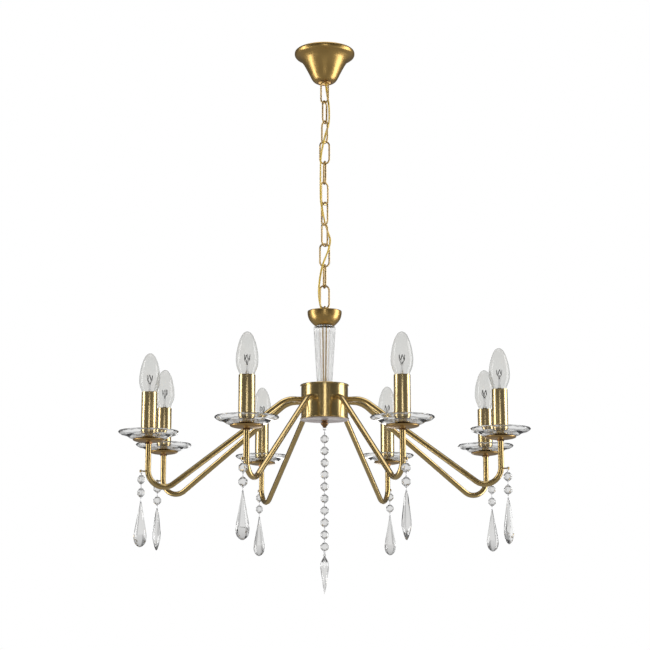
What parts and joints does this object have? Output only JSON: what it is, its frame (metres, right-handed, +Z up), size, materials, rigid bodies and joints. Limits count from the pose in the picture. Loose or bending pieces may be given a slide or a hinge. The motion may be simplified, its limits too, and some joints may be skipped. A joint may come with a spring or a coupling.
{
  "type": "multi arm chandelier",
  "caption": "Brass chandelier on a chain with bent tube arms, glass drip dishes, candle bulbs, a glass column and hanging crystal drops.",
  "frame": {"origin": "middle of the ceiling plane, on the crossbar's top face, on the chain's line", "axes": "+Z up, the front view looks along +Y, arms at 22.5 degrees from +X and every 45 degrees"},
  "size_m": [0.676, 0.676, 0.9617],
  "materials": {
    "brass": "brushed antique brass, satin",
    "zinc_steel": "zinc plated",
    "pale_plate": "satin, off-white",
    "crystal": "clear cut crystal",
    "bulb_glass": "clear blown glass",
    "gold_flex": "translucent golden sleeve"
  },
  "bodies": {
    "ceiling_mount": {"ceiling_crossbar": "zinc_steel", "canopy": "brass", "canopy_loop": "brass", "supply_flex": "gold_flex"},
    "chain_1": {"chain_links_1": "brass"},
    "chain_2": {"chain_links_2": "brass"},
    "chain_3": {"chain_links_3": "brass"},
    "chain_4": {"chain_links_4": "brass"},
    "chain_5": {"chain_links_5": "brass"},
    "chain_6": {"chain_links_6": "brass"},
    "fixture": {"bowl": "brass", "bowl_loop": "brass", "glass_column": "crystal", "centre_tube": "brass", "hub_top_cap": "brass", "hub_drum": "brass", "hub_bottom_plate": "pale_plate", "finial": "brass", "arm_1": "brass", "bobeche_1": "crystal", "candle_sleeve_1": "brass", "arm_2": "brass", "bobeche_2": "crystal", "candle_sleeve_2": "brass", "arm_3": "brass", "bobeche_3": "crystal", "candle_sleeve_3": "brass", "arm_4": "brass", "bobeche_4": "crystal", "candle_sleeve_4": "brass", "arm_5": "brass", "bobeche_5": "crystal", "candle_sleeve_5": "brass", "arm_6": "brass", "bobeche_6": "crystal", "candle_sleeve_6": "brass", "arm_7": "brass", "bobeche_7": "crystal", "candle_sleeve_7": "brass", "arm_8": "brass", "bobeche_8": "crystal", "candle_sleeve_8": "brass"},
    "bulb_1": {"bulb_1": "bulb_glass"},
    "bulb_2": {"bulb_2": "bulb_glass"},
    "bulb_3": {"bulb_3": "bulb_glass"},
    "bulb_4": {"bulb_4": "bulb_glass"},
    "bulb_5": {"bulb_5": "bulb_glass"},
    "bulb_6": {"bulb_6": "bulb_glass"},
    "bulb_7": {"bulb_7": "bulb_glass"},
    "bulb_8": {"bulb_8": "bulb_glass"},
    "drop_1": {"crystal_drop_1": "crystal"},
    "drop_2": {"crystal_drop_2": "crystal"},
    "drop_3": {"crystal_drop_3": "crystal"},
    "drop_4": {"crystal_drop_4": "crystal"},
    "drop_5": {"crystal_drop_5": "crystal"},
    "drop_6": {"crystal_drop_6": "crystal"},
    "drop_7": {"crystal_drop_7": "crystal"},
    "drop_8": {"crystal_drop_8": "crystal"},
    "strand": {"bead_strand": "crystal"},
    "spear": {"spear_drop": "crystal"}
  },
  "joints": [
    {"name": "chain_1_swing", "type": "hinge", "parent": "ceiling_mount", "child": "chain_1", "pos_m": [0, 0, -0.0583], "axis": [0.6157, 0.788, 0], "range_deg": [-8, 8], "deforming": ["supply_flex"]},
    {"name": "chain_2_swing", "type": "hinge", "parent": "chain_1", "child": "chain_2", "pos_m": [0, 0, -0.13365], "axis": [0.4226, 0.9063, 0], "range_deg": [-8, 8]},
    {"name": "chain_3_swing", "type": "hinge", "parent": "chain_2", "child": "chain_3", "pos_m": [0, 0, -0.2086], "axis": [1, 0, 0], "range_deg": [-8, 8]},
    {"name": "chain_4_swing", "type": "hinge", "parent": "chain_3", "child": "chain_4", "pos_m": [0, 0, -0.28355], "axis": [0.6947, 0.7193, 0], "range_deg": [-8, 8]},
    {"name": "chain_5_swing", "type": "hinge", "parent": "chain_4", "child": "chain_5", "pos_m": [0, 0, -0.3585], "axis": [0.5878, 0.809, 0], "range_deg": [-8, 8]},
    {"name": "chain_6_swing", "type": "hinge", "parent": "chain_5", "child": "chain_6", "pos_m": [0, 0, -0.43345], "axis": [0.2079, -0.9781, 0], "range_deg": [-8, 8]},
    {"name": "fixture_swing", "type": "hinge", "parent": "chain_6", "child": "fixture", "pos_m": [0, 0, -0.47055], "axis": [0.9563, 0.2924, 0], "range_deg": [-8, 8]},
    {"name": "drop_1_swing", "type": "hinge", "parent": "fixture", "child": "drop_1", "pos_m": [0.29814, 0.12349, -0.762], "axis": [0.9239, 0.3827, 0], "range_deg": [-40, 40]},
    {"name": "drop_2_swing", "type": "hinge", "parent": "fixture", "child": "drop_2", "pos_m": [0.12349, 0.29814, -0.762], "axis": [0.3827, 0.9239, 0], "range_deg": [-40, 40]},
    {"name": "drop_3_swing", "type": "hinge", "parent": "fixture", "child": "drop_3", "pos_m": [-0.12349, 0.29814, -0.7635], "axis": [-0.3827, 0.9239, 0], "range_deg": [-40, 40]},
    {"name": "drop_4_swing", "type": "hinge", "parent": "fixture", "child": "drop_4", "pos_m": [-0.29814, 0.12349, -0.76], "axis": [-0.9239, 0.3827, 0], "range_deg": [-40, 40]},
    {"name": "drop_5_swing", "type": "hinge", "parent": "fixture", "child": "drop_5", "pos_m": [-0.29814, -0.12349, -0.765], "axis": [-0.9239, -0.3827, 0], "range_deg": [-40, 40]},
    {"name": "drop_6_swing", "type": "hinge", "parent": "fixture", "child": "drop_6", "pos_m": [-0.12349, -0.29814, -0.762], "axis": [-0.3827, -0.9239, 0], "range_deg": [-40, 40]},
    {"name": "drop_7_swing", "type": "hinge", "parent": "fixture", "child": "drop_7", "pos_m": [0.12349, -0.29814, -0.762], "axis": [0.3827, -0.9239, 0], "range_deg": [-40, 40]},
    {"name": "drop_8_swing", "type": "hinge", "parent": "fixture", "child": "drop_8", "pos_m": [0.29814, -0.12349, -0.7602], "axis": [0.9239, -0.3827, 0], "range_deg": [-40, 40]},
    {"name": "strand_swing", "type": "hinge", "parent": "fixture", "child": "strand", "pos_m": [0, 0, -0.6825], "axis": [0, 1, 0], "range_deg": [-30, 30]},
    {"name": "spear_swing", "type": "hinge", "parent": "strand", "child": "spear", "pos_m": [0, 0, -0.89051], "axis": [0, 1, 0], "range_deg": [-45, 45]},
    {"name": "bulb_1_lift", "type": "slide", "parent": "fixture", "child": "bulb_1", "axis": [0, 0, 1], "range_m": [0, 0.036]},
    {"name": "bulb_2_lift", "type": "slide", "parent": "fixture", "child": "bulb_2", "axis": [0, 0, 1], "range_m": [0, 0.036]},
    {"name": "bulb_3_lift", "type": "slide", "parent": "fixture", "child": "bulb_3", "axis": [0, 0, 1], "range_m": [0, 0.036]},
    {"name": "bulb_4_lift", "type": "slide", "parent": "fixture", "child": "bulb_4", "axis": [0, 0, 1], "range_m": [0, 0.036]},
    {"name": "bulb_5_lift", "type": "slide", "parent": "fixture", "child": "bulb_5", "axis": [0, 0, 1], "range_m": [0, 0.036]},
    {"name": "bulb_6_lift", "type": "slide", "parent": "fixture", "child": "bulb_6", "axis": [0, 0, 1], "range_m": [0, 0.036]},
    {"name": "bulb_7_lift", "type": "slide", "parent": "fixture", "child": "bulb_7", "axis": [0, 0, 1], "range_m": [0, 0.036]},
    {"name": "bulb_8_lift", "type": "slide", "parent": "fixture", "child": "bulb_8", "axis": [0, 0, 1], "range_m": [0, 0.036]}
  ]
}
